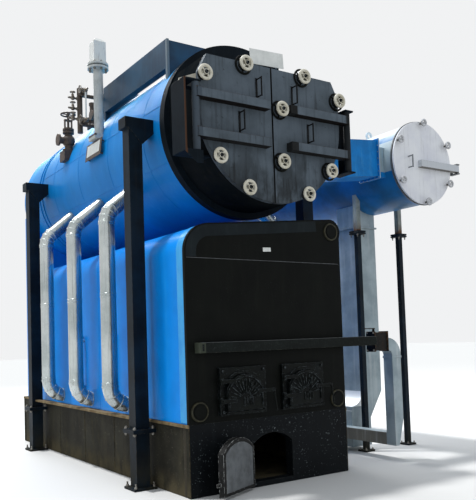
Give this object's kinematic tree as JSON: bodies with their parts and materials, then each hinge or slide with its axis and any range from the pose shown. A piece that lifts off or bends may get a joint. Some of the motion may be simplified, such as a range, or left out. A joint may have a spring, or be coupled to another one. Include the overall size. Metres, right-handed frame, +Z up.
{
  "type": "industrial boiler",
  "caption": "Solid-fuel steam boiler: membrane-wall furnace on an ash pit, fire-tube shell above with a two-leaf smokebox door, air preheater with ducts beside it.",
  "frame": {"origin": "on the ground, under the middle of the ash pit's front face", "axes": "+Z up, +Y from the front with the doors to the back, +X to the right, towards the preheater"},
  "size_m": [4.2749, 5.442, 5.2388],
  "materials": {
    "grimy_steel": "rough",
    "cast_iron": "matt",
    "ash_door_iron": "rough",
    "black_paint": "satin",
    "blue_paint": "gloss",
    "dark_blue_paint": "satin",
    "rusty_steel": "rough",
    "door_grey": "satin",
    "cream_paint": "satin",
    "aluminium_cladding": "satin",
    "pale_grey_paint": "satin",
    "valve_iron": "rough",
    "silver_paint": "satin",
    "galvanised_sheet": "matt"
  },
  "bodies": {
    "boiler": {"ash_pit_front": "grimy_steel", "ash_pit_side_walls": "grimy_steel", "ash_pit_back_wall": "grimy_steel", "ash_pit_floor": "grimy_steel", "grate_bars": "cast_iron", "ash_door_hinges": "cast_iron", "furnace_front_plate": "black_paint", "furnace_casing": "blue_paint", "wall_headers": "black_paint", "fire_door_frames": "cast_iron", "air_bar": "black_paint", "damper_box": "rusty_steel", "rear_chamber": "blue_paint", "shell_drum": "blue_paint", "shell_front_flange": "black_paint", "front_tube_plate": "rusty_steel", "smokebox": "black_paint", "smokebox_hinge_brackets": "black_paint", "rear_smokebox": "black_paint", "columns_left": "black_paint", "columns_right": "black_paint", "column_rails": "rusty_steel", "downcomers_left": "aluminium_cladding", "downcomers_right": "aluminium_cladding", "platform_frame": "dark_blue_paint", "level_controller": "pale_grey_paint", "safety_valves": "valve_iron", "steam_stop_valve": "valve_iron", "plate_bracket": "pale_grey_paint", "preheater_shell": "blue_paint", "preheater_front_ring": "pale_grey_paint", "preheater_saddles": "pale_grey_paint", "preheater_posts": "black_paint", "flue_duct": "blue_paint", "air_duct_down": "galvanised_sheet", "air_duct_low": "galvanised_sheet", "air_duct_riser": "galvanised_sheet", "drain_pipes": "pale_grey_paint"},
    "smokebox_leaf_left": {"smokebox_door_left": "door_grey", "handwheels_left": "cream_paint"},
    "smokebox_leaf_right": {"smokebox_door_right": "door_grey", "handwheels_right": "cream_paint"},
    "fire_leaf_left": {"fire_door_left": "cast_iron"},
    "fire_leaf_right": {"fire_door_right": "cast_iron"},
    "ash_leaf": {"ash_door": "ash_door_iron"},
    "preheater_leaf": {"preheater_cover": "silver_paint", "preheater_clamps": "cream_paint"}
  },
  "joints": [
    {"name": "smokebox_hinge_left", "type": "hinge", "parent": "boiler", "child": "smokebox_leaf_left", "pos_m": [-0.95, -0.2375, 3.6], "axis": [0, 0, -1], "range_deg": [0, 110]},
    {"name": "smokebox_hinge_right", "type": "hinge", "parent": "boiler", "child": "smokebox_leaf_right", "pos_m": [0.95, -0.2375, 3.6], "axis": [0, 0, 1], "range_deg": [0, 110]},
    {"name": "fire_hinge_left", "type": "hinge", "parent": "boiler", "child": "fire_leaf_left", "pos_m": [-0.6515, -0.0675, 0.97], "axis": [0, 0, -1], "range_deg": [0, 110]},
    {"name": "fire_hinge_right", "type": "hinge", "parent": "boiler", "child": "fire_leaf_right", "pos_m": [0.1055, -0.0675, 0.97], "axis": [0, 0, -1], "range_deg": [0, 110]},
    {"name": "ash_hinge", "type": "hinge", "parent": "boiler", "child": "ash_leaf", "pos_m": [-0.3025, -0.038, 0.25], "axis": [0, 0, 1], "range_deg": [-15, 156]},
    {"name": "preheater_hinge", "type": "hinge", "parent": "boiler", "child": "preheater_leaf", "pos_m": [2.987, -0.06, 3.525], "axis": [0, 0, 1], "range_deg": [0, 100]}
  ]
}
